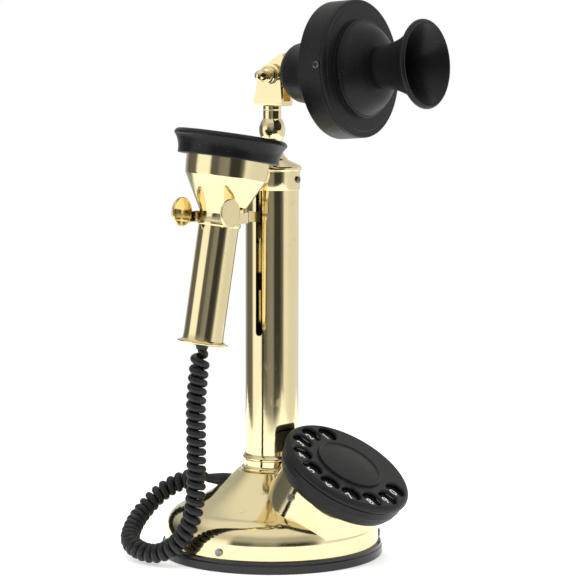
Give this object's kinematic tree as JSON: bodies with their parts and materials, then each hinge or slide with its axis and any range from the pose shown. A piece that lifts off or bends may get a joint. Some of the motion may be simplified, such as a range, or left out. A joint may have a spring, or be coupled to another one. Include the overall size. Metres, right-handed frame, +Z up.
{
  "type": "candlestick telephone",
  "caption": "Upright brass desk telephone: round foot with a sloping rotary dial, tall column, tilting black mouthpiece, and a receiver with a curly cord on a side hook.",
  "frame": {"origin": "centre of the foot's underside, on the surface it stands on", "axes": "+Z up the column, -Y the way the mouthpiece and the dial face, -X the side the receiver hangs on"},
  "size_m": [0.1748, 0.2092, 0.3769],
  "materials": {
    "felt": "green-black wool felt",
    "steel": "plain",
    "plinth_black": "glossy",
    "cast_iron": "rough",
    "brass": "polished and lacquered",
    "plain_brass": "satin",
    "dial_black": "satin",
    "number_plate_black": "glossy with white numbers",
    "satin_black": "satin paint with fine turning marks",
    "mouthpiece_black": "satin",
    "ear_cap_black": "satin",
    "cord_black": "satin vinyl",
    "insulator": "brown moulded",
    "coil": "varnished copper wire"
  },
  "bodies": {
    "stand": {"base_felt": "felt", "bottom_plate": "steel", "base_ring": "plinth_black", "ballast_ring": "cast_iron", "plate_screws": "steel", "base_pan": "brass", "rim_screws": "steel", "dial_drum": "brass", "dial_case": "dial_black", "number_plate": "number_plate_black", "governor_pin": "steel", "spring_barrel": "plain_brass", "dial_screws": "steel", "column_tube": "brass", "column_plug": "plain_brass", "plug_ring": "steel", "foot_collar": "brass", "top_cap": "brass", "cap_screws": "steel", "stem": "brass", "stem_stud": "steel", "pivot_bracket": "brass", "pivot_nut": "brass", "hook_pin": "steel", "hook_bracket": "steel", "bracket_screws": "steel", "switch_block": "insulator", "switch_leaves": "plain_brass", "switch_foot": "steel", "terminal_block": "insulator", "terminal_screws": "plain_brass", "cord_grommet": "cord_black", "line_grommet": "cord_black", "receiver_cord": "cord_black"},
    "transmitter": {"tilt_tongue": "brass", "transmitter_cup": "satin_black", "tongue_screws": "steel", "transmitter_face": "satin_black", "ring_screws": "steel", "mouthpiece": "mouthpiece_black", "mouth_grille": "satin_black", "carbon_capsule": "plain_brass", "capsule_bridge": "steel"},
    "thumbscrew": {"thumbscrew": "brass"},
    "finger_wheel": {"finger_wheel": "dial_black", "centre_disc": "dial_black", "dial_shaft": "steel", "dial_gear": "plain_brass"},
    "governor": {"governor": "plain_brass"},
    "hook": {"hook_lever": "brass", "hook_paddles": "brass"},
    "receiver": {"receiver_cup": "brass", "ear_cap": "ear_cap_black", "diaphragm": "steel", "receiver_magnet": "steel", "receiver_coils": "coil", "receiver_handle": "brass", "handle_flange": "brass", "handle_bush": "cord_black"}
  },
  "joints": [
    {"name": "transmitter_tilt", "type": "hinge", "parent": "stand", "child": "transmitter", "pos_m": [0, -0.002, 0.32664], "axis": [-1, 0, 0], "range_deg": [-8, 25]},
    {"name": "thumbscrew_turn", "type": "hinge", "parent": "stand", "child": "thumbscrew", "pos_m": [-0.0064, -0.002, 0.32664], "axis": [-1, 0, 0], "continuous": true},
    {"name": "dial_turn", "type": "hinge", "parent": "stand", "child": "finger_wheel", "pos_m": [0, -0.0645, 0.0677], "axis": [0, 0.5299, -0.848], "range_deg": [0, 330], "stiffness_Nm_per_rad": 0.01, "springref_deg": -85.94},
    {"name": "governor_spin", "type": "hinge", "parent": "stand", "child": "governor", "pos_m": [-0.02128, -0.05078, 0.06036], "axis": [0, 0.5299, -0.848], "range_deg": [-1325, 5]},
    {"name": "receiver_lift", "type": "slide", "parent": "stand", "child": "receiver", "axis": [0.143, -0.0666, 0.9875], "range_m": [0, 0.03]},
    {"name": "hook_rise", "type": "hinge", "parent": "stand", "child": "hook", "pos_m": [0.00696, 0.00073, 0.222], "axis": [-0.1045, 0.9945, 0], "range_deg": [0, 7]}
  ],
  "couplings": [
    {"joint": "governor_spin", "follows": "dial_turn", "ratio": -4},
    {"joint": "hook_rise", "follows": "receiver_lift", "rad_per_m": 3.8}
  ]
}
